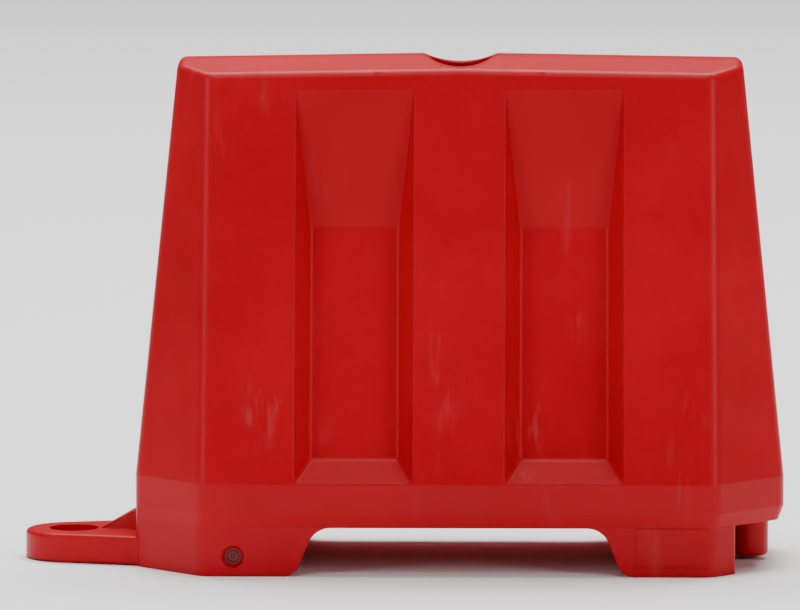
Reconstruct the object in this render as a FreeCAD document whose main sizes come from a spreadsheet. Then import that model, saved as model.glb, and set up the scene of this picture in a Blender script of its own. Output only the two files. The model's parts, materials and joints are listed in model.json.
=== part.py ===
"""Water filled traffic barrier: one hollow moulded tank with its filler cap and drain plug.

Millimetres, +Z up, +X along the barrier towards the coupling post, front face towards -Y.
The origin is on the ground, under the middle of the whole length (tank and coupling tab).
"""
import math
import os

import FreeCAD, Part
import Sketcher
from FreeCAD import Placement, Rotation, Vector

SIZES = [
    # tank
    ("body_height", 800, "ground to the ridge, at mid length"),
    ("ridge_drop", 7, "how much lower the ridge is at the ends of the tank"),
    ("roof_rise", 24, "shoulder edge to ridge"),
    ("body_half_length", 507, "mid length to the end of the belt"),
    ("body_half_width", 230, "centre plane to the front of the belt"),
    ("crown_half_length", 441, "the same ends, tapered up to the ridge level"),
    ("crown_half_width", 100, "the same sides, tapered up to the ridge level"),
    ("front_flat_base", 398, "half length of the flat front at the belt"),
    ("front_flat_crown", 394, "half length of the flat front at ridge level"),
    ("end_flat_base", 112, "half width of the flat end at the belt"),
    ("end_flat_crown", 52, "half width of the flat end at ridge level"),
    ("corner_radius", 30, "upright corners, seen from above"),
    ("belt_low", 99, "lower edge of the upright belt"),
    ("belt_high", 145, "upper edge of the upright belt"),
    ("underside", 76, "height of the gap under the tank"),
    ("foot_inset", 8, "feet stand this far inside the belt, except at the tab"),
    ("foot_inner", 254, "mid length to the foot, at the ground"),
    ("arch_lean", 31, "the foot's inner wall leans this much up to the gap's roof"),
    ("wall", 5, "moulded wall"),
    # recesses in the long sides
    ("recess_middle", 163, "mid length to the middle of a recess"),
    ("recess_half_width", 92, "half width of the mouth"),
    ("recess_draft", 23, "each side wall comes in this much at full depth"),
    ("recess_depth", 43, "depth of the lower floor, along Y"),
    ("recess_sill", 147, "height of the mouth's lower edge"),
    ("sill_rise", 31, "the sill slopes up this much to the floor"),
    ("recess_top", 750, "where the upright floor runs out of the leaning face"),
    # saddle across the ridge and the filler in it
    ("saddle_depth", 19, "ridge to the bottom of the saddle"),
    ("saddle_radius", 102, "round saddle, its axis across the barrier"),
    ("well_radius", 50, "round well around the filler"),
    ("well_depth", 20, "saddle bottom to the floor of the well"),
    ("filler_bore", 32, "radius of the filler's bore"),
    ("neck_wall", 4, "wall of the neck insert"),
    ("neck_flange", 8, "the neck's flanges stand out this much"),
    ("flange_thickness", 4, "each flange of the neck insert"),
    ("neck_reach", 20, "neck insert below the well's floor"),
    ("gasket_thickness", 2.5, "flat rubber washer under the cap"),
    ("gasket_width", 7, "ring width of the washer"),
    ("cap_thickness", 5, "disc of the cap"),
    ("cap_rim", 9, "the disc stands out this much past the bore"),
    ("cap_plug", 14, "length of the threaded plug under the disc"),
    ("cap_wall", 4, "wall of the hollow plug"),
    ("grip_height", 5, "bar across the cap"),
    ("grip_width", 11, "bar across the cap"),
    ("thread_gap", 0.5, "radial gap between plug and bore"),
    # coupling: tab with an eye at -X, post under the tank at +X
    ("eye_reach", 104, "end of the belt to the eye's axis"),
    ("eye_radius", 39, "bore of the eye"),
    ("head_radius", 76, "round end of the tab"),
    ("tab_low", 2, "underside of the tab above the ground"),
    ("tab_high", 46, "top of the tab"),
    ("flare_radius", 60, "rounding where the tab's side runs into the foot"),
    ("gusset_high", 84, "top of the gusset where it meets the foot"),
    ("gusset_half", 27, "half width of the gusset's top there"),
    ("gusset_flank", 15, "each flank of the gusset spreads this much"),
    ("gusset_tip", 3, "half width of the gusset's tip, and its distance from the eye"),
    ("post_radius", 32, "coupling post"),
    ("post_reach", 52, "end of the belt in to the post's axis"),
    ("post_low", 6, "lower end of the post above the ground"),
    ("foot_setback", 78, "end of the belt in to the cut foot"),
    ("channel_half", 91, "half width of the channel that takes the tab"),
    ("channel_reach", 86, "post's axis in to the channel's end"),
    # drain in the foot at -X
    ("drain_middle", 350, "mid length to the drain"),
    ("drain_height", 31, "ground to the drain's axis"),
    ("dish_radius", 16.5, "round dish around the drain"),
    ("dish_depth", 7, "foot's face to the floor of the dish"),
    ("bush_radius", 13, "threaded bush moulded into the wall"),
    ("bush_length", 22, "threaded bush"),
    ("bush_flange", 3, "the bush's flange behind the wall"),
    ("head_pocket", 8, "depth of the bush's pocket for the plug's head"),
    ("plug_head_radius", 9, "head of the drain plug"),
    ("plug_head_height", 4, "head of the drain plug"),
    ("plug_radius", 5.5, "threaded shank of the drain plug"),
    ("plug_reach", 12, "threaded shank of the drain plug"),
    ("seal_section", 1.1, "radius of the O-ring's section"),
    ("socket_flats", 8, "hexagon socket across its flats"),
    ("socket_depth", 3, "hexagon socket"),
    # plate recess on the foot at +X
    ("plate_middle", 333, "mid length to the middle of the plate recess"),
    ("plate_half", 60, "half length of the plate recess"),
    ("plate_low", 13, "ground to the plate recess"),
    ("plate_depth", 2, "depth of the plate recess"),
    # roundings
    ("ridge_round", 150, "rounding along the ridge"),
    ("shoulder_round", 14, "rounding of the shoulder edges"),
    ("recess_round", 9, "rounding inside the recesses"),
    ("saddle_round", 12, "rounding of the saddle's rims"),
    ("crease_round", 6, "rounding of the belt's upper edge"),
    ("arch_round", 36, "rounding where the feet meet the gap's roof"),
    ("foot_corner_round", 27, "rounding of the feet's lower corners at the gap"),
    ("foot_round", 9, "rounding of the coupling foot's upright corners"),
    ("tab_round", 7, "rounding of the tab head's upper rim"),
    ("post_round", 8, "rounding of the post's lower edge"),
]
EDGE_SHARE = math.tan(math.radians(22.5))   # of a radius, used up by a 45 degree corner
TOUCH = 0.5                                 # edges this near a height lie at it
ROUNDING_SHARE = 0.01                       # rounding takes less than this of a shape
SKIN_GAP = 0.3                              # keeps two nearly flush faces apart
FAR = 400                                   # tools run past the solid they cut by this much

doc = FreeCAD.newDocument("barrier")
sheet = doc.addObject("Spreadsheet::Sheet", "Sizes")
for row, (alias, number, meaning) in enumerate(SIZES, 1):
    sheet.set(f"A{row}", meaning)
    sheet.set(f"B{row}", str(number))
    sheet.setAlias(f"B{row}", alias)
doc.recompute()

# The tank's middle stands this far from the origin, because the tab reaches out at -X only.
MIDDLE = "(Sizes.eye_reach + Sizes.head_radius) / 2"


def value(expression):
    """The number that a sheet expression gives now."""
    return float(sheet.evalExpression(expression))


def bind(thing, **expressions):
    """Bind properties to the sheet; a double underscore stands for a dot in the property's name."""
    for name, expression in expressions.items():
        thing.setExpression(name.replace("__", "."), expression)
    return thing


def place(thing, x="0", y="0", z="0", turn=None):
    """Put a thing at a point of the tank's own frame, whose middle is at x = MIDDLE."""
    thing.Placement = Placement(Vector(), turn or Rotation())
    return bind(thing, Placement__Base__x=f"{MIDDLE} + {x}", Placement__Base__y=y,
                Placement__Base__z=z)


FLAT = Rotation()                           # sketch x, y along X, Y
SIDE = Rotation(Vector(1, 0, 0), 90)        # sketch x, y along X, Z
CROSS = Rotation(Vector(1, 1, 1), 120)      # sketch x, y along Y, Z


def crossing(point, along, other, other_along):
    """Where two lines of the sketch plane meet, each given by a point and a direction."""
    share = ((other - point).cross(other_along)).z / (along.cross(other_along)).z
    return point + along * share


def outline(name, *loops, turn=FLAT, x="0", y="0", z="0", growth="0"):
    """A sketch of closed loops; a corner is (across, along) or (across, along, radius).

    Growth moves every side outwards, or inwards where it is negative, and keeps the drawn
    loop as construction lines that the moved sides are dimensioned from.
    """
    return place(draw(doc.addObject("Sketcher::SketchObject", name), loops, growth), x, y, z, turn)


def draw(sketch, loops, growth="0"):
    """Draw an outline's loops in a sketch and dimension them from the sheet."""
    amount = value(growth)

    def bound(constraint, expression):
        sketch.setExpression(f"Constraints[{sketch.addConstraint(constraint)}]", expression)

    def fix(geometry, end, corner):
        for kind, expression in zip(("DistanceX", "DistanceY"), corner):
            bound(Sketcher.Constraint(kind, -1, 1, geometry, end, value(expression)), expression)

    for corners in loops:
        drawn = [Vector(value(corner[0]), value(corner[1]), 0) for corner in corners]
        sides = [(end - start).normalize() for start, end in zip(drawn, drawn[1:] + drawn[:1])]
        area = sum(start.cross(end).z for start, end in zip(drawn, drawn[1:] + drawn[:1]))
        outward = [Vector(side.y, -side.x, 0) * math.copysign(1, area) for side in sides]
        points = [crossing(point + outward[index - 1] * amount, sides[index - 1],
                           point + outward[index] * amount, sides[index])
                  for index, point in enumerate(drawn)]
        radii = []
        for index, corner in enumerate(corners):
            convex = sides[index - 1].cross(sides[index]).z * area > 0
            rule = f"{corner[2]} {'+' if convex else '-'} ({growth})" if len(corner) > 2 else "0"
            radii.append((value(rule), rule))

        bends = []                                  # where each corner's rounding starts and ends
        for index, point in enumerate(points):
            angle = math.pi - sides[index - 1].getAngle(sides[index])
            reach = radii[index][0] / math.tan(angle / 2)
            bends.append((point - sides[index - 1] * reach, point + sides[index] * reach))
        lines = [sketch.addGeometry(Part.LineSegment(
            bends[index][1], bends[(index + 1) % len(points)][0]), False)
            for index in range(len(points))]
        if amount:
            guides = [sketch.addGeometry(Part.LineSegment(start, end), True)
                      for start, end in zip(drawn, drawn[1:] + drawn[:1])]
            for index, corner in enumerate(corners):
                sketch.addConstraint(
                    Sketcher.Constraint("Coincident", guides[index - 1], 2, guides[index], 1))
                fix(guides[index], 1, corner)
                sketch.addConstraint(Sketcher.Constraint("Parallel", guides[index], lines[index]))
                bound(Sketcher.Constraint("Distance", lines[index], 1, guides[index],
                                          abs(amount)), f"abs({growth})")
        for index, corner in enumerate(corners):
            before, after = lines[index - 1], lines[index]
            radius, rule = radii[index]
            if not radius:
                sketch.addConstraint(Sketcher.Constraint("Coincident", before, 2, after, 1))
                if not amount:
                    fix(after, 1, corner)
                continue
            start, end = bends[index]
            inward = ((start + end) / 2 - points[index]).normalize()
            slant = math.sin((start - points[index]).getAngle(inward))
            crest = points[index] + inward * radius * (1 / slant - 1)
            arc = sketch.addGeometry(Part.Arc(start, crest, end), False)
            near, far = (1, 2) if sketch.getPoint(arc, 1).isEqual(start, 1e-6) else (2, 1)
            mark = sketch.addGeometry(Part.Point(points[index]), True)
            if not amount:
                fix(mark, 1, corner)
            sketch.addConstraint([
                Sketcher.Constraint("PointOnObject", mark, 1, before),
                Sketcher.Constraint("PointOnObject", mark, 1, after),
                Sketcher.Constraint("Tangent", before, 2, arc, near),
                Sketcher.Constraint("Tangent", after, 1, arc, far)])
            bound(Sketcher.Constraint("Radius", arc, radius), rule)
    return sketch


def mirrored(corners):
    """Corners of the right half, followed by their mirror images back to the start."""
    return corners + [(f"-({across})", *rest) for across, *rest in reversed(corners)]


def loft(name, sections):
    thing = doc.addObject("Part::Loft", name)
    thing.Sections = sections
    thing.Solid = True
    thing.Ruled = True
    return thing


def extrusion(name, base, direction, forward, back="0"):
    thing = doc.addObject("Part::Extrusion", name)
    thing.Base = base
    thing.DirMode = "Custom"
    thing.Dir = Vector(0, 0, 1)
    thing.Solid = True
    across, along, up = direction
    return bind(thing, Dir__x=across, Dir__y=along, Dir__z=up, LengthFwd=forward,
                LengthRev=back)


def cylinder(name, radius, height, x="0", y="0", z="0", turn=None):
    thing = doc.addObject("Part::Cylinder", name)
    place(thing, x, y, z, turn)
    return bind(thing, Radius=radius, Height=height)


def fuse(name, shapes):
    thing = doc.addObject("Part::MultiFuse", name)
    thing.Shapes = shapes
    thing.Refine = True
    return thing


def common(name, shapes):
    thing = doc.addObject("Part::MultiCommon", name)
    thing.Shapes = shapes
    return thing


def cut(name, base, tools):
    """Base less every tool."""
    tool = tools[0] if len(tools) == 1 else fuse(name + "_tools", tools)
    thing = doc.addObject("Part::Cut", name)
    thing.Base = base
    thing.Tool = tool
    thing.Refine = True
    return thing


def mirror(name, source):
    """The same thing on the other side of the centre plane y = 0."""
    thing = doc.addObject("Part::Mirroring", name)
    thing.Source = source
    thing.Normal = Vector(0, 1, 0)
    return thing


# ---------------------------------------------------------------- outlines of the tank
CORNER = "Sizes.corner_radius"
BELT = ("Sizes.body_half_length", "Sizes.body_half_width",
        "Sizes.front_flat_base", "Sizes.end_flat_base")
CROWN = ("Sizes.crown_half_length", "Sizes.crown_half_width",
         "Sizes.front_flat_crown", "Sizes.end_flat_crown")
# The long face leans in by this much of a millimetre for each millimetre of height.
LEAN = ("((Sizes.body_half_width - Sizes.crown_half_width)"
        " / (Sizes.body_height - Sizes.belt_high))")
ROOF_SLOPE = "(Sizes.roof_rise / Sizes.crown_half_width)"
# The roof's flanks would meet this high if the ridge weren't rounded.
RIDGE = f"(Sizes.body_height + Sizes.ridge_round * (hypot(1; {ROOF_SLOPE}) - 1))"
EYE = "-Sizes.body_half_length - Sizes.eye_reach"
POST = "Sizes.body_half_length - Sizes.post_reach"
FOOT_FACE = "(Sizes.body_half_width - Sizes.foot_inset)"
SADDLE = "(Sizes.body_height - Sizes.saddle_depth)"
WELL = f"({SADDLE} - Sizes.well_depth)"
SILL_Y = f"-Sizes.body_half_width + {LEAN} * (Sizes.recess_sill - Sizes.belt_high)"
BEND = f"(Sizes.recess_top - Sizes.recess_depth / {LEAN} - Sizes.recess_sill)"
FLOOR = f"({LEAN} * (Sizes.recess_top - Sizes.recess_sill))"
SILL_RUN = f"(Sizes.recess_depth + {LEAN} * Sizes.sill_rise)"
DRAFT = "(Sizes.recess_draft / Sizes.recess_depth)"


def octagon(name, sizes, height, inset, growth):
    """Plan section with cut and rounded corners, set in everywhere but at the tab's end."""
    half_length, half_width, front_flat, end_flat = sizes
    share = f"{EDGE_SHARE:.4f} * {inset}"
    quarter = [(f"{front_flat} - {share}", f"{half_width} - {inset}", CORNER),
               (f"{half_length} - {inset} / 2", f"{end_flat} - {share}", CORNER)]
    half = quarter + [(across, f"-({along})", CORNER) for across, along, _ in reversed(quarter)]
    return outline(name, mirrored(half), x=f"-{inset} / 2", z=height, growth=growth)


def recess_mouth(middle):
    """Plan corners of one recess at its sill, with the draft of both side walls carried on."""
    deep = f"(Sizes.recess_half_width - {DRAFT} * 2 * Sizes.recess_depth)"
    wide = f"(Sizes.recess_half_width + {DRAFT} * {FAR / 4:.0f})"
    return [(f"{middle} - {deep}", "2 * Sizes.recess_depth"),
            (f"{middle} - {wide}", f"-{FAR / 4:.0f}"),
            (f"{middle} + {wide}", f"-{FAR / 4:.0f}"),
            (f"{middle} + {deep}", "2 * Sizes.recess_depth")]


def rounded(name, base, *groups):
    """Round the edges that tests pick out; each group is a radius and its test."""
    doc.recompute()
    sizes = {}
    for radius, wanted in groups:
        for number, edge in enumerate(base.Shape.Edges, 1):
            if wanted(edge):
                sizes[number] = value(radius)
    thing = doc.addObject("Part::Fillet", name)
    thing.Base = base
    thing.Edges = [(number, size, size) for number, size in sizes.items()]
    return thing


# ---------------------------------------------------------------- the moulding, skin by skin
def block(name, inset):
    """The tapered tank and feet as one solid, set in from the outside by an amount."""
    levels = [("feet", BELT, "-Sizes.underside", "Sizes.foot_inset"),
              ("underside", BELT, "Sizes.underside", "Sizes.foot_inset"),
              ("belt_low", BELT, "Sizes.belt_low", "0"),
              ("belt_high", BELT, "Sizes.belt_high", "0"),
              ("crown", CROWN, "Sizes.body_height", "0"),
              ("over", CROWN, f"Sizes.body_height + {FAR}", "0")]
    taper = loft(f"{name}_taper", [
        octagon(f"{name}_{level}", sizes, height, feet_inset, f"-{inset}")
        for level, sizes, height, feet_inset in levels])
    gable = outline(f"{name}_gable", [
        ("0", RIDGE, "Sizes.ridge_round"), (f"-{FAR}", f"{RIDGE} - {FAR} * {ROOF_SLOPE}"),
        (f"-{FAR}", "0"), (f"{FAR}", "0"), (f"{FAR}", f"{RIDGE} - {FAR} * {ROOF_SLOPE}")],
        turn=CROSS, growth=f"-{inset}")
    halves = [extrusion(f"{name}_{side}_half", gable,
                        (sign, "0", "-Sizes.ridge_drop / Sizes.crown_half_length"),
                        "2 * Sizes.body_half_length")
              for side, sign in (("left", "-1"), ("right", "1"))]
    floor = outline(f"{name}_floor", [
        (f"-{2 * FAR}", "0"), (f"{2 * FAR}", "0"),
        (f"{2 * FAR}", f"{3 * FAR}"), (f"-{2 * FAR}", f"{3 * FAR}")],
        turn=SIDE, growth=f"-{inset}")
    above = extrusion(f"{name}_above", floor, ("0", "1", "0"), f"{FAR}", f"{FAR}")
    sharp = common(f"{name}_sharp", [common(f"{name}_standing", [taper, above]),
                                     fuse(f"{name}_roof", halves)])
    doc.recompute()
    shoulder = value("Sizes.body_height - 2 * Sizes.roof_rise")
    return rounded(name, sharp, (
        f"Sizes.shoulder_round - {inset}",
        lambda edge: edge.BoundBox.ZMin > shoulder and borders_one_side(sharp.Shape, edge)))


def borders_one_side(shape, edge):
    """True for an edge between a roof face and an upright face."""
    roof = [face for face in shape.ancestorsOfType(edge, Part.Face)
            if face.normalAt(*middle_of(face)).z > 0.9]
    return len(roof) == 1


def middle_of(face):
    low_u, high_u, low_v, high_v = face.ParameterRange
    return (low_u + high_u) / 2, (low_v + high_v) / 2


def hollows(name, inset):
    """What is taken away from the block: gap, coupling pocket, recesses, saddle, well, dish."""
    # The gap's outline runs on under the feet, so that their lower corners are rounded too.
    arch = outline(f"{name}_arch", mirrored([
        ("Sizes.foot_inner - Sizes.arch_lean", "Sizes.underside", "Sizes.arch_round"),
        ("Sizes.foot_inner", "0", "Sizes.foot_corner_round"),
        (f"{2 * FAR}", "0"), (f"{2 * FAR}", "-Sizes.underside")]), turn=SIDE, growth=inset)
    gap = extrusion(f"{name}_gap", arch, ("0", "1", "0"), f"{FAR}", f"{FAR}")
    pocket_plan = outline(f"{name}_pocket_plan", [
        (f"{FAR}", f"{FAR}"), ("-Sizes.foot_setback", f"{FAR}"),
        ("-Sizes.foot_setback", "Sizes.channel_half"),
        ("-Sizes.post_reach - Sizes.channel_reach", "Sizes.channel_half"),
        ("-Sizes.post_reach - Sizes.channel_reach", "-Sizes.channel_half"),
        ("-Sizes.foot_setback", "-Sizes.channel_half"),
        ("-Sizes.foot_setback", f"-{FAR}"), (f"{FAR}", f"-{FAR}")],
        x="Sizes.body_half_length", z=f"-{FAR}", growth=inset)
    pocket = extrusion(f"{name}_pocket", pocket_plan, ("0", "0", "1"),
                       f"{FAR} + Sizes.underside + {inset}")
    # Seen from the end, y runs from the long face at the sill towards the middle.
    recess_side = outline(f"{name}_recess_side", [
        (f"-{FAR}", f"-{FAR} * Sizes.sill_rise / {SILL_RUN}"), (SILL_RUN, "Sizes.sill_rise"),
        (FLOOR, BEND), (FLOOR, "Sizes.recess_top + Sizes.recess_depth - Sizes.recess_sill"),
        (f"-{FAR}", "Sizes.recess_top + Sizes.recess_depth - Sizes.recess_sill")],
        turn=CROSS, y=SILL_Y, z="Sizes.recess_sill", growth=inset)
    recess_plan = outline(
        f"{name}_recess_plan", recess_mouth("-Sizes.recess_middle"),
        recess_mouth("Sizes.recess_middle"), y=SILL_Y, z="Sizes.recess_sill", growth=inset)
    sharp = common(f"{name}_sharp_recesses", [
        extrusion(f"{name}_recess_depths", recess_side, ("1", "0", "0"),
                  "Sizes.body_half_length", "Sizes.body_half_length"),
        extrusion(f"{name}_recess_mouths", recess_plan, ("0", LEAN, "1"),
                  f"{3 * FAR}", f"{FAR}")])
    front = rounded(f"{name}_front_recesses", sharp, (
        f"Sizes.recess_round + {inset}", lambda edge: is_recess_corner(edge, sharp.Shape)))
    saddle = cylinder(f"{name}_saddle", f"Sizes.saddle_radius + {inset}", f"{2 * FAR}",
                      y=f"{FAR}", z=f"{SADDLE} + Sizes.saddle_radius", turn=SIDE)
    well = cylinder(f"{name}_well", f"Sizes.well_radius + {inset}", f"{FAR}",
                    z=f"{WELL} - {inset}")
    dish = cylinder(f"{name}_dish", f"Sizes.dish_radius + {inset}",
                    f"{FAR} + Sizes.dish_depth + {inset}", x="-Sizes.drain_middle",
                    y=f"-{FOOT_FACE} + Sizes.dish_depth + {inset}", z="Sizes.drain_height",
                    turn=SIDE)
    return [gap, pocket, front, mirror(f"{name}_rear_recesses", front), saddle, well, dish]


def is_recess_corner(edge, recesses):
    """True for a recess's inner corners, but not for the crease where its floor bends."""
    box = edge.BoundBox
    half_way = value("(Sizes.recess_sill + Sizes.recess_top) / 2")
    crease = box.XLength > TOUCH and box.ZMin > half_way
    return (box.YMax > recesses.BoundBox.YMin + TOUCH and box.ZMin < value("Sizes.recess_top")
            and not crease)


def tab(name, inset):
    """The coupling tab without its eye: a round head, and sides that flare into the foot.

    Its sides touch the head and run to the foot's cut corner, where a large rounding leads
    them into that corner's face. The root lies inside the tank's end.
    """
    along = f"(Sizes.eye_reach + Sizes.foot_inset + {SKIN_GAP})"
    across = f"(Sizes.end_flat_base - {EDGE_SHARE:.4f} * Sizes.foot_inset)"
    spread = (f"(atan2({across}; {along})"
              f" + acos(Sizes.head_radius / hypot({across}; {along})))")
    half = [(f"{along} + (Sizes.body_half_length - Sizes.front_flat_base) / 2",
             f"{across} + (Sizes.body_half_width - Sizes.end_flat_base) / 2"),
            (along, across, "Sizes.flare_radius"),
            (f"Sizes.head_radius * cos({spread})", f"Sizes.head_radius * sin({spread})")]
    plan = outline(
        f"{name}_plan",
        half + [(reach, f"-({out})", *rest) for reach, out, *rest in reversed(half)],
        x=EYE, z="Sizes.tab_low", growth=f"-{inset}")
    height = f"Sizes.tab_high - Sizes.tab_low - {inset}"
    root = extrusion(f"{name}_root", plan, ("0", "0", "1"), height, f"-{inset}")
    head = cylinder(f"{name}_head", f"Sizes.head_radius - {inset}", f"{height} - {inset}",
                    x=EYE, z=f"Sizes.tab_low + {inset}")
    return fuse(name, [root, head])


def gusset():
    """The ramp from the tab's top up to the belt, flat on top with two leaning flanks."""
    def section(name, reach, top, half_top, half_foot):
        return outline(name, [
            (half_top, top), (f"-{half_top}", top), (f"-({half_foot})", "Sizes.tab_low + Sizes.wall"),
            (half_foot, "Sizes.tab_low + Sizes.wall")], turn=CROSS, x=f"{EYE} + {reach}")

    return loft("gusset", [
        section("gusset_tip", "Sizes.eye_radius + Sizes.gusset_tip", "Sizes.tab_high",
                "Sizes.gusset_tip", "Sizes.gusset_tip + Sizes.gusset_tip"),
        section("gusset_root", "Sizes.eye_reach + Sizes.foot_inset", "Sizes.gusset_high",
                "Sizes.gusset_half", "Sizes.gusset_half + 2 * Sizes.gusset_flank")])


tank = cut("tank", block("outer", "0"), hollows("outer", "0"))
outer_tab = tab("tab", "0")
post = cylinder("post", "Sizes.post_radius", "Sizes.underside + Sizes.wall - Sizes.post_low",
                x=POST, z="Sizes.post_low")
solid = fuse("solid", [tank, outer_tab, gusset(), post])
plate = outline("plate", [
    ("-Sizes.plate_half", "Sizes.plate_low"), ("Sizes.plate_half", "Sizes.plate_low"),
    ("Sizes.plate_half", "Sizes.underside"), ("-Sizes.plate_half", "Sizes.underside")],
    turn=SIDE, x="Sizes.plate_middle", y=f"-{FOOT_FACE} + Sizes.plate_depth")
eye = cylinder("eye", "Sizes.eye_radius", "2 * Sizes.underside", x=EYE, z="-Sizes.underside / 2")
sharp_outside = cut("sharp_outside", solid, [
    eye, extrusion("plate_recess", plate, ("0", "-1", "0"), "Sizes.plate_depth + Sizes.wall")])


def lies_at(box, height):
    """True for the box of a level edge at a height."""
    return abs(box.ZMin - value(height)) < TOUCH and abs(box.ZMax - value(height)) < TOUCH


def is_foot_corner(box):
    """True for the upright corners of the foot's pocket for the coupling tab."""
    middle = value(MIDDLE)
    return (box.XLength < TOUCH and box.ZLength > value("Sizes.underside") / 2
            and value(f"{POST} - Sizes.channel_reach") - TOUCH < box.XMin - middle
            and box.XMax - middle < value("Sizes.body_half_length - Sizes.foot_setback") + TOUCH
            and box.ZMin < value("Sizes.post_low"))


def is_saddle_rim(box):
    """True for the saddle's two long rims across the roof."""
    return (box.ZMin > value("Sizes.body_height - 2 * Sizes.roof_rise - Sizes.saddle_depth")
            and abs(box.Center.x - value(MIDDLE)) < value("Sizes.saddle_radius")
            and TOUCH < box.XLength < box.YLength / 2)


def is_head_rim(box):
    """True for the upper rim of the tab's round head."""
    return (lies_at(box, "Sizes.tab_high") and box.YLength > value("Sizes.head_radius")
            and box.XMax - value(MIDDLE) < value(EYE))


outside = rounded(
    "outside", sharp_outside,
    ("Sizes.foot_round", lambda edge: is_foot_corner(edge.BoundBox)),
    ("Sizes.crease_round", lambda edge: lies_at(edge.BoundBox, "Sizes.belt_high")),
    ("Sizes.post_round", lambda edge: lies_at(edge.BoundBox, "Sizes.post_low")),
    ("Sizes.saddle_round", lambda edge: is_saddle_rim(edge.BoundBox)),
    ("Sizes.tab_round", lambda edge: is_head_rim(edge.BoundBox)))

cavity_post = cylinder("cavity_post", "Sizes.post_radius - Sizes.wall",
                       "Sizes.underside + Sizes.wall - Sizes.post_low",
                       x=POST, z="Sizes.post_low + Sizes.wall")
cavity = fuse("cavity", [cut("cavity_tank", block("inner", "Sizes.wall"),
                             hollows("inner", "Sizes.wall")),
                         tab("inner_tab", "Sizes.wall"), cavity_post])
sleeve = cylinder("eye_sleeve", "Sizes.eye_radius + Sizes.wall", "2 * Sizes.underside",
                  x=EYE, z="-Sizes.underside / 2")
water_space = cut("water_space", cavity, [sleeve])
filler_hole = cylinder("filler_hole", "Sizes.filler_bore + Sizes.neck_wall", f"{FAR}",
                       z=f"{WELL} - Sizes.neck_reach")
drain_hole = cylinder("drain_hole", "Sizes.bush_radius", "Sizes.bush_length",
                      x="-Sizes.drain_middle",
                      y=f"-{FOOT_FACE} + Sizes.dish_depth + Sizes.bush_length",
                      z="Sizes.drain_height", turn=SIDE)
body_shell = cut("body_shell", outside, [water_space, filler_hole, drain_hole])


# ---------------------------------------------------------------- turned pieces
def turned(name, corners, x, y, z, turn=None):
    """A piece of revolution about its own z axis; corners are (radius, height) pairs."""
    piece = doc.addObject("PartDesign::Body", name)
    profile = piece.newObject("Sketcher::SketchObject", f"{name}_profile")
    profile.AttachmentSupport = [(origin_plane(piece, "XZ_Plane"), "")]
    profile.MapMode = "FlatFace"
    draw(profile, [corners])
    revolution = piece.newObject("PartDesign::Revolution", f"{name}_revolution")
    revolution.Profile = profile
    revolution.ReferenceAxis = (profile, ["V_Axis"])
    revolution.Angle = 360
    return place(piece, x, y, z, turn)


def origin_plane(piece, role):
    return next(feature for feature in piece.Origin.OriginFeatures if feature.Role == role)


def level_sketch(piece, name, loops, height):
    """A sketch inside a piece, level with its x, y plane at a height."""
    sketch = piece.newObject("Sketcher::SketchObject", name)
    sketch.AttachmentSupport = [(origin_plane(piece, "XY_Plane"), "")]
    sketch.MapMode = "FlatFace"
    bind(sketch, AttachmentOffset__Base__z=height)
    return draw(sketch, loops)


NECK_OUTSIDE = "(Sizes.filler_bore + Sizes.neck_wall)"
NECK_FLANGE = f"({NECK_OUTSIDE} + Sizes.neck_flange)"
LOWER_FLANGE = "(-Sizes.wall - Sizes.flange_thickness)"
filler_neck = turned("filler_neck", [
    ("Sizes.filler_bore", "Sizes.flange_thickness"), (NECK_FLANGE, "Sizes.flange_thickness"),
    (NECK_FLANGE, "0"), (NECK_OUTSIDE, "0"), (NECK_OUTSIDE, "-Sizes.wall"),
    (NECK_FLANGE, "-Sizes.wall"), (NECK_FLANGE, LOWER_FLANGE), (NECK_OUTSIDE, LOWER_FLANGE),
    (NECK_OUTSIDE, "-Sizes.neck_reach"), ("Sizes.filler_bore", "-Sizes.neck_reach")],
    "0", "0", WELL)

CAP_SEAT = f"({WELL} + Sizes.flange_thickness + Sizes.gasket_thickness)"
cap_gasket = turned("cap_gasket", [
    ("Sizes.filler_bore + Sizes.thread_gap", "-Sizes.gasket_thickness"),
    ("Sizes.filler_bore + Sizes.gasket_width", "-Sizes.gasket_thickness"),
    ("Sizes.filler_bore + Sizes.gasket_width", "0"),
    ("Sizes.filler_bore + Sizes.thread_gap", "0")], "0", "0", CAP_SEAT)

PLUG = "(Sizes.filler_bore - Sizes.thread_gap)"
filler_cap = turned("filler_cap", [
    ("0", "Sizes.cap_thickness"),
    ("Sizes.filler_bore + Sizes.cap_rim", "Sizes.cap_thickness", "Sizes.cap_thickness / 3"),
    ("Sizes.filler_bore + Sizes.cap_rim", "0"), (PLUG, "0"), (PLUG, "-Sizes.cap_plug"),
    (f"{PLUG} - Sizes.cap_wall", "-Sizes.cap_plug"), (f"{PLUG} - Sizes.cap_wall", "0"),
    ("0", "0")], "0", "0", CAP_SEAT)
grip = level_sketch(filler_cap, "grip_plan", [[
    ("Sizes.filler_bore", "Sizes.grip_width / 2", "Sizes.grip_width / 3"),
    ("-Sizes.filler_bore", "Sizes.grip_width / 2", "Sizes.grip_width / 3"),
    ("-Sizes.filler_bore", "-Sizes.grip_width / 2", "Sizes.grip_width / 3"),
    ("Sizes.filler_bore", "-Sizes.grip_width / 2", "Sizes.grip_width / 3")]],
    "Sizes.cap_thickness")
grip_bar = filler_cap.newObject("PartDesign::Pad", "grip_bar")
grip_bar.Profile = grip
bind(grip_bar, Length="Sizes.grip_height")

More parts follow.
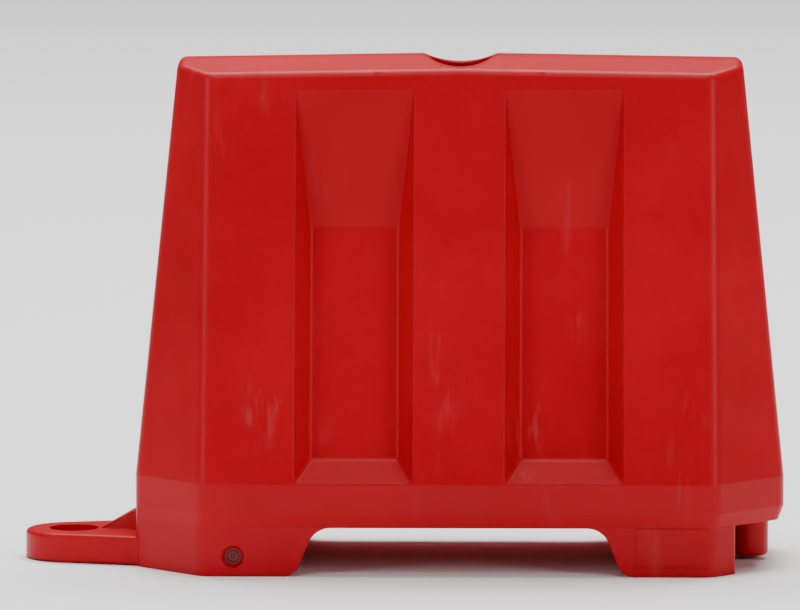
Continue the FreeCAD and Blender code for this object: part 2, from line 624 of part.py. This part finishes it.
DRAIN_AT = ("-Sizes.drain_middle", f"-{FOOT_FACE} + Sizes.dish_depth", "Sizes.drain_height")
BUSH_BORE = "(Sizes.plug_radius + Sizes.thread_gap)"
HEAD_BORE = "(Sizes.plug_head_radius + Sizes.thread_gap)"
BUSH_FLANGE = "(Sizes.bush_radius + Sizes.bush_flange)"
BUSH_BACK = "(-Sizes.wall - Sizes.bush_flange)"
drain_bush = turned("drain_bush", [
    (HEAD_BORE, "0"), ("Sizes.bush_radius", "0"), ("Sizes.bush_radius", "-Sizes.wall"),
    (BUSH_FLANGE, "-Sizes.wall"), (BUSH_FLANGE, BUSH_BACK), ("Sizes.bush_radius", BUSH_BACK),
    ("Sizes.bush_radius", "-Sizes.bush_length"), (BUSH_BORE, "-Sizes.bush_length"),
    (BUSH_BORE, "-Sizes.head_pocket"), (HEAD_BORE, "-Sizes.head_pocket")],
    *DRAIN_AT, turn=SIDE)

HEAD_FOOT = "(2 * Sizes.seal_section - Sizes.head_pocket)"
HEAD_TOP = f"({HEAD_FOOT} + Sizes.plug_head_height)"
drain_plug = turned("drain_plug", [
    ("0", HEAD_TOP), ("Sizes.plug_head_radius", HEAD_TOP, "Sizes.plug_head_height / 4"),
    ("Sizes.plug_head_radius", HEAD_FOOT), ("Sizes.plug_radius", HEAD_FOOT),
    ("Sizes.plug_radius", f"{HEAD_FOOT} - Sizes.plug_reach"),
    ("0", f"{HEAD_FOOT} - Sizes.plug_reach")], *DRAIN_AT, turn=SIDE)
hexagon = [(f"Sizes.socket_flats / sqrt(3) * cos({angle})",
            f"Sizes.socket_flats / sqrt(3) * sin({angle})") for angle in range(0, 360, 60)]
socket = drain_plug.newObject("PartDesign::Pocket", "hexagon_socket")
socket.Profile = level_sketch(drain_plug, "hexagon_plan", [hexagon], HEAD_TOP)
bind(socket, Length="Sizes.socket_depth")

drain_seal = doc.addObject("Part::Torus", "drain_seal")
bind(drain_seal, Radius1="(Sizes.plug_radius + Sizes.plug_head_radius) / 2",
     Radius2="Sizes.seal_section")
place(drain_seal, DRAIN_AT[0],
      f"{DRAIN_AT[1]} + Sizes.head_pocket - Sizes.seal_section", DRAIN_AT[2], SIDE)


# ---------------------------------------------------------------- check and write
SUB_PARTS = [body_shell, filler_neck, filler_cap, cap_gasket, drain_bush, drain_plug, drain_seal]
doc.recompute()
for thing in doc.Objects:
    if "Invalid" in thing.State or "Error" in thing.State:
        raise RuntimeError(f"{thing.Name} failed: {thing.State}")
    if thing.TypeId == "Part::Fillet":
        if abs(thing.Shape.Volume / thing.Base.Shape.Volume - 1) > ROUNDING_SHARE:
            raise RuntimeError(f"{thing.Name} took away more than a rounding")
os.makedirs("parts", exist_ok=True)
for part in SUB_PARTS:
    part.Label = part.Name
    shape = part.Shape
    if shape.isNull() or not shape.isValid() or len(shape.Solids) != 1:
        raise RuntimeError(f"{part.Label} isn't one valid solid")
    shape.exportStep(f"parts/{part.Label}.step")
    print(part.Label, shape.BoundBox, f"{shape.Volume / 1000:.1f} cm3")
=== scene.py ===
# %% [markdown]
# # A water filled barrier
# The barrier is one big hollow moulding of red polyethylene, which is filled with water
# through a screw cap in its top and emptied through a small plug near the ground.
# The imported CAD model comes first, as a fixed frame. Everything made here rides on it.

# %% Load the frame
import json
import bmesh
import bpy
import numpy as np
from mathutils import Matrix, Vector


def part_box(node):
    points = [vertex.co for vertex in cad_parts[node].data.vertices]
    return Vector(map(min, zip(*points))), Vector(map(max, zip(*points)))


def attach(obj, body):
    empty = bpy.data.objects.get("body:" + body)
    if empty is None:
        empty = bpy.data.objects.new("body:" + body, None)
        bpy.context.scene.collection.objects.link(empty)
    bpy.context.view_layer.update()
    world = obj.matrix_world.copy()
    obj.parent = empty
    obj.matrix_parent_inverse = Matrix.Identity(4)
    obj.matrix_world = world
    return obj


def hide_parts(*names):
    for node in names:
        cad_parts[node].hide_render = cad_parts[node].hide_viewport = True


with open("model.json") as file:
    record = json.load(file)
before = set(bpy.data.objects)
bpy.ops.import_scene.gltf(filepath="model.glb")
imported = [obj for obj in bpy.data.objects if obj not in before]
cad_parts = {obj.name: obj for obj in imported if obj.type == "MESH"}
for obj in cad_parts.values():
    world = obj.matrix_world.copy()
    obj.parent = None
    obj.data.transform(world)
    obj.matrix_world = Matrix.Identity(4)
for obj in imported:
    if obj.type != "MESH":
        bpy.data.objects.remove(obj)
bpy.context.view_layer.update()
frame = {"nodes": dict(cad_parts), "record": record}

# %% [markdown]
# ## Places
# Each piece goes where the frame says: a node's box gives its middle and its ends, and the
# record's joints give the axes that the cap and the plug turn about.

# %% Read places from the frame
MM = 0.001


def corners_mm(node):
    """The lowest and highest corners of a CAD node's box, in mm."""
    return (np.array(corner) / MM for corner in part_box(node))


shell_low, shell_high = (np.array(corner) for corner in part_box("body_shell"))
joints = {joint["name"]: joint for joint in frame["record"]["behaviour"]["joints"]}
cap_axis = np.array(joints["cap_turn"]["pos_m"])
plug_axis = np.array(joints["plug_turn"]["pos_m"])
tank_middle = cap_axis[0]
print("tank's middle at x", tank_middle, "drain at", plug_axis)

# %% [markdown]
# ## Colours
# Colours are written as the sRGB hex values that a designer picks, and one function turns
# them to the linear values that the shader works in.

# %% Colours and nodes


def linear(colour):
    """A hex colour as linear RGBA: each channel c becomes ((c + 0.055) / 1.055) to the 2.4."""
    channels = np.array([int(colour[i:i + 2], 16) for i in (1, 3, 5)]) / 255
    toe = channels / 12.92
    curve = ((channels + 0.055) / 1.055) ** 2.4
    return (*np.where(channels <= 0.04045, toe, curve), 1.0)


def add(tree, kind, links=None, **settings):
    """Add a node; settings are its properties or inputs, links are sockets led into it."""
    node = tree.nodes.new(kind)
    for name, setting in settings.items():
        if hasattr(node, name):
            setattr(node, name, setting)
        else:
            node.inputs[name.replace("_", " ")].default_value = setting
    for name, socket in (links or {}).items():
        tree.links.new(socket, node.inputs[name])
    return node


def new_material(name):
    """An empty material with its output node, and that output."""
    material = bpy.data.materials.new(name)
    material.use_nodes = True
    material.node_tree.nodes.clear()
    return material, add(material.node_tree, "ShaderNodeOutputMaterial")


print("signal red is", [round(c, 3) for c in linear("#B21216")])

# %% [markdown]
# ## The red plastic
# The tank is rotomoulded linear polyethylene: powder melts onto the wall of a spinning mould
# and cools slowly. That leaves a satin skin with a soft gloss, faces that wave a little
# because the wall shrinks unevenly, a fine grain copied from the blasted mould, and pale
# scuffs where barriers are stacked and dragged against each other.

# %% Polyethylene
RED = "#B40319"             # signal red, as the pigment looks in an even light
DEEP_RED = "#AA0215"        # where the wall is thicker
CHALK = "#C9686C"           # bloom and rubbed plastic
WAVE = 0.16                 # metres from one shallow wave of the wall to the next
GRAIN = 0.0022              # metres; the blasted grain is finer, drawn this coarse to show
EDGE = 0.005                # metres; melted powder never fills a mould's corners sharply
SCUFF = 0.05                # metres across a patch of scuffs
WAVE_DEPTH = 0.0022         # metres, hollow to crest
GRAIN_DEPTH = 0.0004


def noise(tree, place, size, stretch=(1, 1, 1), **settings):
    """A noise texture whose patches measure size metres, stretched along each axis."""
    mapping = add(tree, "ShaderNodeMapping", {"Vector": place})
    mapping.inputs["Scale"].default_value = [1 / factor for factor in stretch]
    return add(tree, "ShaderNodeTexNoise", {"Vector": mapping.outputs["Vector"]},
               Scale=1 / size, **settings).outputs["Fac"]


def spread(tree, socket, low, high, to_low=0.0, to_high=1.0):
    """Stretch the part of a pattern between low and high over to_low to to_high."""
    node = add(tree, "ShaderNodeMapRange", {"Value": socket})
    node.interpolation_type = "SMOOTHSTEP"
    for name, setting in zip(("From Min", "From Max", "To Min", "To Max"),
                             (low, high, to_low, to_high)):
        node.inputs[name].default_value = setting
    return node.outputs["Result"]


def polyethylene(name, colour, deep, roughness, scuffed):
    """Rotomoulded polyethylene: two close shades, scuffs, soft waves and a fine grain."""
    material, output = new_material(name)
    tree = material.node_tree
    place = add(tree, "ShaderNodeTexCoord").outputs["Object"]
    shade = spread(tree, noise(tree, place, 2 * WAVE, Detail=3.0), 0.35, 0.65)
    body = add(tree, "ShaderNodeMixRGB", {"Fac": shade},
               Color1=linear(colour), Color2=linear(deep))
    # Scuffs run up and down the faces, in patches.
    streaks = noise(tree, place, SCUFF / 3, stretch=(1, 1, 8), Detail=3.0, Roughness=0.5)
    patches = noise(tree, place, 3 * SCUFF, stretch=(1, 1, 2.2), Detail=2.0)
    scuffs = add(tree, "ShaderNodeMath", operation="MULTIPLY")
    tree.links.new(spread(tree, streaks, 0.5, 0.78, to_high=scuffed), scuffs.inputs[0])
    tree.links.new(spread(tree, patches, 0.56, 0.74), scuffs.inputs[1])
    worn = add(tree, "ShaderNodeMixRGB",
               {"Fac": scuffs.outputs[0], "Color1": body.outputs[0]}, Color2=linear(CHALK))
    gloss = spread(tree, noise(tree, place, WAVE / 3, Detail=5.0), 0.3, 0.7,
                   to_low=roughness - 0.04, to_high=roughness + 0.05)
    edges = add(tree, "ShaderNodeBevel", samples=6, Radius=EDGE)
    waves = add(tree, "ShaderNodeBump",
                {"Height": noise(tree, place, WAVE, Detail=1.0), "Normal": edges.outputs[0]},
                Strength=0.5, Distance=WAVE_DEPTH)
    grain = add(tree, "ShaderNodeBump",
                {"Height": noise(tree, place, GRAIN, Detail=2.0), "Normal": waves.outputs[0]},
                Strength=0.12, Distance=GRAIN_DEPTH)
    skin = add(tree, "ShaderNodeBsdfPrincipled",
               {"Base Color": worn.outputs[0], "Roughness": gloss, "Normal": grain.outputs[0]},
               IOR=1.51, Specular_IOR_Level=0.13)
    tree.links.new(skin.outputs[0], output.inputs["Surface"])
    return material


shell_red = polyethylene("rotomoulded_polyethylene_red", RED, DEEP_RED, 0.34, 0.28)
for material_slot in frame["nodes"]["body_shell"].material_slots:
    material_slot.material = shell_red
print("shell painted with", shell_red.name)

# %% [markdown]
# ## The small fittings
# The filler neck, its cap, the washer, and the bush and plug of the drain are all turned
# shapes, moulded in harder plastic with real screw threads. Each is a profile carried
# round an axis: a grid of profile points by angles, worked out as whole arrays.

# %% Surfaces of revolution
ROUND = 144                 # steps round a turn
SOFT_STEPS = 4              # points along each rounded corner of a profile
MERGE = 1e-6                # metres; points nearer than this are one, which closes the poles
UP, OUT = (0, 0, 1), (0, -1, 0)


def softened(corners, radius, closed=True):
    """Round a profile's corners. Each becomes a parabola from a point radius before it to
    one radius after it: (1-t)^2 A + 2t(1-t) C + t^2 B, for t from 0 to 1. The two ends of a
    profile that isn't closed stay where they are."""
    corners = np.array(corners, float)
    before, after = np.roll(corners, 1, axis=0), np.roll(corners, -1, axis=0)
    t = np.linspace(0, 1, SOFT_STEPS)[None, :, None]

    def step(other):
        reach = np.linalg.norm(other - corners, axis=1, keepdims=True)
        return corners + (other - corners) / reach * np.minimum(radius, 0.45 * reach)

    start, end = step(before)[:, None], step(after)[:, None]
    curve = (1 - t) ** 2 * start + 2 * t * (1 - t) * corners[:, None] + t ** 2 * end
    if not closed:
        curve[0], curve[-1] = corners[0], corners[-1]
    return curve.reshape(-1, 2)


def divided(profile, longest, closed=True):
    """Add points along a profile until no step is over longest."""
    ends = np.roll(profile, -1, axis=0)
    steps = np.linalg.norm(ends - profile, axis=1)
    counts = np.maximum(1, np.ceil(steps / longest)).astype(int)
    if not closed:
        counts[-1] = 1
    share = np.concatenate([np.arange(count) / count for count in counts])[:, None]
    return (np.repeat(profile, counts, axis=0) * (1 - share)
            + np.repeat(ends, counts, axis=0) * share)


def thread_form(phase):
    """A thread's profile along one pitch: a triangle wave made steeper and cut off at 0 and 1,
    which leaves flat roots and crests with sloping flanks between them."""
    return np.clip(1.6 * np.abs(2 * (phase % 1) - 1) - 0.3, 0, 1)


def grid_mesh(name, points, material, closed=True):
    """A mesh on a grid of points (rows, columns, 3). Point (i, j) shares a face with its next
    neighbours in both directions. Each row closes on itself, and the last row joins the first
    unless the surface begins and ends in a pole."""
    rows, columns, _ = points.shape
    row, column = np.meshgrid(np.arange(rows if closed else rows - 1), np.arange(columns),
                              indexing="ij")
    here = row * columns + column
    below = (row + 1) % rows * columns + column
    across = row * columns + (column + 1) % columns
    both = (row + 1) % rows * columns + (column + 1) % columns
    faces = np.stack([here, below, both, across], axis=-1).reshape(-1, 4)
    mesh = bpy.data.meshes.new(name)
    mesh.from_pydata((points.reshape(-1, 3)).tolist(), [], faces.tolist())
    mesh.materials.append(material)
    shape = bmesh.new()
    shape.from_mesh(mesh)
    bmesh.ops.remove_doubles(shape, verts=shape.verts, dist=MERGE)
    bmesh.ops.recalc_face_normals(shape, faces=shape.faces)
    shape.to_mesh(mesh)
    shape.free()
    mesh.shade_smooth()
    thing = bpy.data.objects.new(name, mesh)
    bpy.context.collection.objects.link(thing)
    return thing


def turn(profile, centre, axis, shape=None):
    """Carry a profile of (radius, height) points in mm round an axis through a centre.

    Point (i, j) is centre + radius_i * (cos a_j * u + sin a_j * v) + height_i * axis, where
    u and v lie across the axis. shape may change the radii, given radius, height and angle.
    """
    axis = np.array(axis, float)
    u = np.array((1.0, 0, 0))
    v = np.cross(axis, u)
    angle = np.linspace(0, 2 * np.pi, ROUND, endpoint=False)[None, :]
    radius, height = profile[:, :1] + 0 * angle, profile[:, 1:] + 0 * angle
    if shape is not None:
        radius = shape(radius, height, angle)
    spot = (radius * np.cos(angle))[..., None] * u + (radius * np.sin(angle))[..., None] * v
    return centre + MM * (spot + height[..., None] * axis)


def piece(name, points, material, body, node, closed=True):
    """Make a piece, let it ride on a body, and let it stand for a CAD node."""
    thing = grid_mesh(name, points, material, closed)
    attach(thing, body)
    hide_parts(node)
    print(name, len(thing.data.polygons), "faces")
    return thing


print("a turned piece has", ROUND, "steps round")

# %% [markdown]
# ## Harder plastics and rubber
# Injection moulding presses plastic hard against steel, so the fittings copy the mould's fine
# even grain more exactly than the tank does: they are polypropylene. The washer and the
# O-ring are EPDM rubber, matt and slightly mottled. One function makes all three from
# different values. The threads' pitches come from the joints, which say how far a piece
# travels for each radian.

# %% Harder plastics and rubber
couplings = {link["joint"]: link["ratio"] for link in frame["record"]["behaviour"]["couplings"]}
cap_pitch = couplings["cap_lift"] * 2 * np.pi / MM
plug_pitch = couplings["plug_travel"] * 2 * np.pi / MM
print("thread pitches", round(cap_pitch, 2), round(plug_pitch, 2), "mm")


MOTTLE = 12 * MM            # one patch of slightly different shade
GLOSS_PATCH = 5 * MM        # one patch of slightly different gloss
MOULD_GRAIN = 0.8 * MM      # a steel mould's grain is finer, drawn this coarse to show
RUBBER_GRAIN = 0.5 * MM     # the same for rubber


def moulded(name, colour, roughness, grain, spotted, bump):
    """A harder moulded plastic or rubber: a slightly uneven shade, grain and gloss."""
    material, output = new_material(name)
    tree = material.node_tree
    place = add(tree, "ShaderNodeTexCoord").outputs["Object"]
    patches = spread(tree, noise(tree, place, MOTTLE, Detail=4.0), 0.35, 0.7)
    shade = add(tree, "ShaderNodeMixRGB", {"Fac": patches},
                Color1=linear(colour), Color2=linear(spotted))
    gloss = spread(tree, noise(tree, place, GLOSS_PATCH, Detail=4.0), 0.3, 0.7,
                   to_low=roughness - 0.06, to_high=roughness + 0.08)
    skin = add(tree, "ShaderNodeBump", {"Height": noise(tree, place, grain, Detail=2.0)},
               Strength=bump, Distance=0.0002)
    finish = add(tree, "ShaderNodeBsdfPrincipled",
                 {"Base Color": shade.outputs[0], "Roughness": gloss, "Normal": skin.outputs[0]},
                 IOR=1.5)
    tree.links.new(finish.outputs[0], output.inputs["Surface"])
    return material


black = moulded("black_polypropylene", "#1B1B1D", 0.42, MOULD_GRAIN, "#262628", 0.3)
# The bush and plug are the tank's red plastic; this darker red is painted shade for the shade in
# the drain's dish.
red_darkened_as_shade = moulded("red_polypropylene_painted_shade", "#7E060C", 0.38, MOULD_GRAIN, "#6E050A", 0.25)
rubber = moulded("epdm_rubber", "#161616", 0.6, RUBBER_GRAIN, "#222222", 0.5)
print("made", black.name, red_darkened_as_shade.name, rubber.name)

# %% [markdown]
# ## Filler neck
# Rotomoulding can't form an accurate thread, so a threaded neck of harder plastic is put in
# the mould and the tank's skin freezes round it, gripped between two flanges. It could be cut
# from cylinders with booleans, but those leave ragged edges on a helix. Here the profile is
# turned in one go, and its bore steps back along the thread.

# %% Filler neck
neck_low, neck_high = corners_mm("filler_neck")
gasket_low, gasket_high = corners_mm("cap_gasket")
cap_low, cap_high = corners_mm("filler_cap")
# Sizes of the fittings are in mm.
NECK_RIM = 8                # each flange stands out this much past the tube
NECK_WALL = 4
FLANGE = 4
SKIN_WALL = 5               # the tank's wall between the two flanges
THREAD_GAP = 0.5            # between a thread and its mate
THREAD_START = 1.5          # plain stretch at each end of the neck's thread
ON_WALL = 0.1               # a point this near a wall's radius is on the wall
THREAD_DEPTH = 0.8
flange_radius = (neck_high[0] - neck_low[0]) / 2
tube_radius = flange_radius - NECK_RIM
bore_radius = tube_radius - NECK_WALL
neck_length = neck_high[2] - neck_low[2]
neck_profile = divided(softened([
    (bore_radius, 0), (flange_radius, 0), (flange_radius, -FLANGE), (tube_radius, -FLANGE),
    (tube_radius, -FLANGE - SKIN_WALL), (flange_radius, -FLANGE - SKIN_WALL),
    (flange_radius, -2 * FLANGE - SKIN_WALL), (tube_radius, -2 * FLANGE - SKIN_WALL),
    (tube_radius, -neck_length), (bore_radius, -neck_length)], 1.0), 0.8)


def inner_thread(radius, height, angle):
    """Cut a thread's roots into the bore: the wall steps back by its depth along a helix."""
    inside = ((radius < bore_radius + ON_WALL) & (height < -THREAD_START)
              & (height > THREAD_START - neck_length))
    return radius + inside * THREAD_DEPTH * thread_form(height / cap_pitch - angle / (2 * np.pi))


neck_top = np.array((cap_axis[0], 0, neck_high[2] * MM))
piece("threaded_filler_neck", turn(neck_profile, neck_top, UP, inner_thread), black,
      "tank", "filler_neck")

# %% [markdown]
# ## Washer
# A flat rubber washer closes the joint between the cap and the neck. Low ribs press harder
# than a flat face, so they seal with less force. A cosine along the radius gives them.

# %% Washer
washer_outer = (gasket_high[0] - gasket_low[0]) / 2
washer_inner = bore_radius + THREAD_GAP
thickness = gasket_high[2] - gasket_low[2]
RIBS = 3
RIB_DEPTH = 0.25
RIB_STEPS = 40
rib_at = np.linspace(washer_inner, washer_outer, RIB_STEPS)
rib_depth = RIB_DEPTH * (1 - np.cos(2 * np.pi * RIBS * (rib_at - washer_inner)
                                    / (washer_outer - washer_inner))) / 2
gasket_profile = np.concatenate([
    np.stack([rib_at, rib_depth - RIB_DEPTH], axis=1),
    np.stack([rib_at[::-1], 0 * rib_at - thickness], axis=1)])
seat = np.array((cap_axis[0], 0, gasket_high[2] * MM))
piece("ribbed_cap_washer", turn(gasket_profile, seat, UP),
      rubber, "cap_seal", "cap_gasket")

# %% [markdown]
# ## Screw cap
# The cap is a disc with a hollow threaded plug under it, and it comes off in two and a half
# turns. Its rim is scalloped for a wet glove. Scallops could be cut one by one, but a cosine
# of the angle taken off the rim's radius gives them all with no seams.

# %% Screw cap
DISC = 5                    # thickness of the cap's disc
CAP_RIM = 9                 # the disc stands out this much past the bore
CAP_WALL = 4                # wall of the hollow plug
SCALLOPS = 36
SCALLOP_DEPTH = 0.8
RIM_FADE = 2.5              # scallops fade out this far in from the rim
PLAIN_END = 1               # plain stretch at each end of a plug's thread
cap_radius = bore_radius + CAP_RIM
cap_plug_radius = bore_radius - THREAD_GAP
plug_depth = gasket_high[2] - cap_low[2]
cap_profile = divided(softened([
    (0, DISC), (cap_radius, DISC), (cap_radius, 0), (cap_plug_radius, 0),
    (cap_plug_radius, -plug_depth), (cap_plug_radius - CAP_WALL, -plug_depth),
    (cap_plug_radius - CAP_WALL, 0), (0, 0)], 1.2, closed=False), 0.8, closed=False)


def cap_edge(radius, height, angle):
    """Scallop the disc's rim with a cosine, and cut the plug's thread."""
    rim = np.clip((radius - cap_radius + RIM_FADE) / RIM_FADE, 0, 1)
    scalloped = radius - SCALLOP_DEPTH * rim * (0.5 + 0.5 * np.cos(SCALLOPS * angle))
    outer = ((np.abs(radius - cap_plug_radius) < ON_WALL) & (height < -PLAIN_END)
             & (height > PLAIN_END - plug_depth))
    return scalloped - outer * THREAD_DEPTH * (
        1 - thread_form(height / cap_pitch - angle / (2 * np.pi)))


piece("screw_cap", turn(cap_profile, seat, UP, cap_edge), black,
      "cap", "filler_cap", closed=False)

# %% [markdown]
# ## Grip on the cap
# A bar across the disc gives two fingers or a spanner something to turn. A bevelled cube
# would do, but stacked superellipses give the soft, slightly tapering form of a moulding.

# %% Grip on the cap
# A superellipse is |x/a|^n + |y/b|^n = 1; its power n makes an oval squarer. Each ring of the
# bar is one, and shrinks by reach as it rises. The first and last rings are poles.
GRIP_WIDTH = 11
POWER = 5
RING_POINTS = 96
RINGS = 14
grip_height = cap_high[2] - gasket_high[2] - DISC
turns, steps = np.meshgrid(np.linspace(0, 2 * np.pi, RING_POINTS, endpoint=False),
                           np.linspace(0, 1, RINGS), indexing="xy")
oval_x = np.sign(np.cos(turns)) * np.abs(np.cos(turns)) ** (2 / POWER)
oval_y = np.sign(np.sin(turns)) * np.abs(np.sin(turns)) ** (2 / POWER)
reach = np.interp(steps, [0, 0.05, 0.6, 0.85, 1], [0, 1, 0.95, 0.75, 0])
height = np.interp(steps, [0, 0.05, 0.6, 0.85, 1],
                   [-0.5, -0.5, 0.75 * grip_height, grip_height, grip_height])
grip_points = np.stack([bore_radius * reach * oval_x, GRIP_WIDTH / 2 * reach * oval_y,
                        height + DISC], axis=-1)
grip = grid_mesh("cap_grip", seat + MM * grip_points, black, closed=False)
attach(grip, "cap")
print("grip stands", round(grip_height, 1), "mm")

# %% [markdown]
# ## Drain bush
# The drain's thread is also too fine for rotomoulding, so a bush is moulded in behind a small
# round dish in the foot. It is turned like the neck, about an axis that points out of the
# face. It is the tank's red plastic, painted a darker red as painted shade for the dish.

# %% Drain bush
bush_low, bush_high = corners_mm("drain_bush")
plug_low, plug_high = corners_mm("drain_plug")
SHANK = 5.5                 # radius of the plug's shank
BUSH_RIM = 3                # the flange stands out this much, and is as thick
FINE_THREAD = 0.35          # depth
bush_flange = (bush_high[0] - bush_low[0]) / 2
bush_radius = bush_flange - BUSH_RIM
bush_length = bush_high[1] - bush_low[1]
head_radius = (plug_high[0] - plug_low[0]) / 2
POCKET = 8                  # depth of the pocket that takes the plug's head
bush_profile = divided(softened([
    (head_radius + THREAD_GAP, 0), (bush_radius, 0), (bush_radius, -SKIN_WALL),
    (bush_flange, -SKIN_WALL), (bush_flange, -SKIN_WALL - BUSH_RIM),
    (bush_radius, -SKIN_WALL - BUSH_RIM), (bush_radius, -bush_length),
    (SHANK + THREAD_GAP, -bush_length), (SHANK + THREAD_GAP, -POCKET),
    (head_radius + THREAD_GAP, -POCKET)], 0.6), 0.3)


def bush_thread(radius, height, angle):
    """Cut the bush's thread: roots step back from the bore along a helix."""
    inside = ((radius < SHANK + THREAD_GAP + ON_WALL) & (height < -POCKET - PLAIN_END)
              & (height > PLAIN_END - bush_length))
    return radius + inside * FINE_THREAD * thread_form(height / plug_pitch - angle / (2 * np.pi))


dish_floor = np.array((plug_axis[0], bush_low[1] * MM, plug_axis[2]))
piece("threaded_drain_bush", turn(bush_profile, dish_floor, OUT, bush_thread), red_darkened_as_shade,
      "tank", "drain_bush")

# %% [markdown]
# ## Drain plug
# The plug is turned out with a hexagon key, because a slot or wings would be knocked off. A
# hexagon can be a function of the angle too, so the socket is part of the same turned
# surface and needs no boolean.

# %% Drain plug
HEAD = 4                    # thickness of the plug's head
SOCKET = 8                  # hexagon socket, across its flats
SOCKET_DEPTH = 3
head_top = bush_low[1] - plug_low[1]
shank_end = head_top - (plug_high[1] - plug_low[1])
plug_profile = divided(softened([
    (0, head_top - SOCKET_DEPTH), (SOCKET / 2, head_top - SOCKET_DEPTH),
    (SOCKET / 2, head_top), (head_radius, head_top), (head_radius, head_top - HEAD),
    (SHANK, head_top - HEAD), (SHANK, shank_end), (0, shank_end)], 0.7, closed=False),
    0.3, closed=False)


def plug_form(radius, height, angle):
    """Make the socket six-sided and cut the shank's thread.

    A flat of a hexagon is at r = flat / cos(a), where a runs from -30 to 30 degrees across
    each side. Outside the socket that fades to a circle.
    """
    across = np.mod(angle, np.pi / 3) - np.pi / 6
    flat = SOCKET / 2
    share = np.clip((1.7 * flat - radius) / (0.6 * flat), 0, 1)
    share = share * (height > head_top - HEAD)
    six_sided = radius * (1 + share * (1 / np.cos(across) - 1))
    shank = ((np.abs(radius - SHANK) < ON_WALL) & (height < head_top - HEAD - PLAIN_END)
             & (height > shank_end + PLAIN_END))
    cut = shank * FINE_THREAD * (1 - thread_form(height / plug_pitch - angle / (2 * np.pi)))
    return six_sided - cut


# The plug's darker red is painted shade for the dish it sits in.
piece("drain_screw_plug", turn(plug_profile, dish_floor, OUT, plug_form), red_darkened_as_shade,
      "plug", "drain_plug", closed=False)

# %% [markdown]
# ## O-ring
# A rubber ring under the plug's head seals the drain. A torus primitive would look perfect,
# while a moulded ring keeps a thin line of flash where its mould parted, so its section is
# a circle whose radius has a small narrow peak on each side.

# %% O-ring
SECTION_STEPS = 48
FLASH = 0.06                # height of the flash, as a share of the section
FLASH_WIDTH = 0.12          # of it, as the sine of the angle
seal_low, seal_high = corners_mm("drain_seal")
section = (seal_high[1] - seal_low[1]) / 2
ring_radius = (seal_high[0] - seal_low[0]) / 2 - section
round_section = np.linspace(0, 2 * np.pi, SECTION_STEPS, endpoint=False)
flash = np.exp(-(np.sin(round_section) / FLASH_WIDTH) ** 2)
section_radius = section * (1 - FLASH * (1 - flash))
ring_profile = np.stack([
    ring_radius + section_radius * np.cos(round_section),
    bush_low[1] - (seal_low[1] + seal_high[1]) / 2 + section_radius * np.sin(round_section)],
    axis=1)
piece("drain_o_ring", turn(ring_profile, dish_floor, OUT), rubber,
      "plug_seal", "drain_seal")

# %% [markdown]
# ## Floor, lights and camera
# A pale floor runs far back, so it fills the picture. A small lamp hangs overhead and leaves
# the pinkish sheen on the sills and on every other face that looks up. A soft key stands
# high in front, two fills stand at the sides, a broad lamp far back washes the floor, and a
# thin one behind marks the edge of the roof.

# %% Floor
FLOOR_REACH = 60.0
corners = np.array([(-1, -1, 0), (1, -1, 0), (1, 1, 0), (-1, 1, 0)]) * FLOOR_REACH
floor_mesh = bpy.data.meshes.new("floor")
floor_mesh.from_pydata(corners.tolist(), [], [(0, 1, 2, 3)])
floor = bpy.data.objects.new("floor", floor_mesh)
bpy.context.collection.objects.link(floor)
paper, output = new_material("white_paper_floor")
matt = add(paper.node_tree, "ShaderNodeBsdfPrincipled", Roughness=0.9,
           Base_Color=linear("#F4F4F4"), Specular_IOR_Level=0.1)
paper.node_tree.links.new(matt.outputs[0], output.inputs["Surface"])
floor_mesh.materials.append(paper)
print("floor", 2 * FLOOR_REACH, "m wide")

# %% Lights
world = bpy.data.worlds.new("studio")
world.use_nodes = True
bpy.context.scene.world = world
sky = world.node_tree.nodes["Background"]
sky.inputs["Color"].default_value = linear("#FFFFFF")
sky.inputs["Strength"].default_value = 0.12


def lamp(name, place, target, width, height, power):
    """A soft rectangular lamp that looks at a point."""
    light = bpy.data.lights.new(name, "AREA")
    light.shape = "RECTANGLE"
    light.size, light.size_y, light.energy = width, height, power
    holder = bpy.data.objects.new(name, light)
    holder.location = place
    holder.rotation_euler = (Vector(target) - Vector(place)).to_track_quat("-Z", "Y").to_euler()
    bpy.context.collection.objects.link(holder)
    return holder


# The long face leans back, so it mirrors what hangs low in front. The lamps that light it
# stand well above that or to the sides, so the plastic stays deep red.
middle = (shell_low + shell_high) / 2
lamp("overhead", (tank_middle, -0.3, 4.5), middle, 3.2, 0.8, 95)
lamp("key", (tank_middle, -5.5, 8.0), middle, 3.0, 2.0, 150)
for side, power in (("left", 120), ("right", 150)):
    sign = -1 if side == "left" else 1
    lamp(f"{side}_fill", (tank_middle + sign * 6.0, -5.0, 3.0), middle, 2.0, 3.0, power)
lamp("floor_wash", (tank_middle, 7.0, 16.0), (tank_middle, 7.0, 0), 18.0, 8.0, 5600)
lamp("rim", (tank_middle, 5.5, 4.2), middle, 5.0, 0.4, 14)
print("lamps look at", [round(v, 2) for v in middle])

# %% Camera
CAMERA_DISTANCE = 10.5      # metres from the tank's middle plane
CAMERA_HEIGHT = 1.47
CAMERA_SIDE = 0.10          # to the right of the tank's middle
AIM_SIDE = -0.095           # the camera looks at this point of the tank's middle plane
AIM_HEIGHT = 0.401
LENS = 301.3                # mm, a long lens on a 36 mm sensor

camera_data = bpy.data.cameras.new("camera")
camera_data.sensor_width = 36
camera_data.lens = LENS
camera_data.clip_end = 4 * FLOOR_REACH
camera = bpy.data.objects.new("camera", camera_data)
camera.location = (tank_middle + CAMERA_SIDE, -CAMERA_DISTANCE, CAMERA_HEIGHT)
aim = Vector((tank_middle + AIM_SIDE, 0, AIM_HEIGHT))
camera.rotation_euler = (aim - camera.location).to_track_quat("-Z", "Y").to_euler()
bpy.context.collection.objects.link(camera)
bpy.context.scene.camera = camera
print("lens", round(camera_data.lens, 1), "mm")
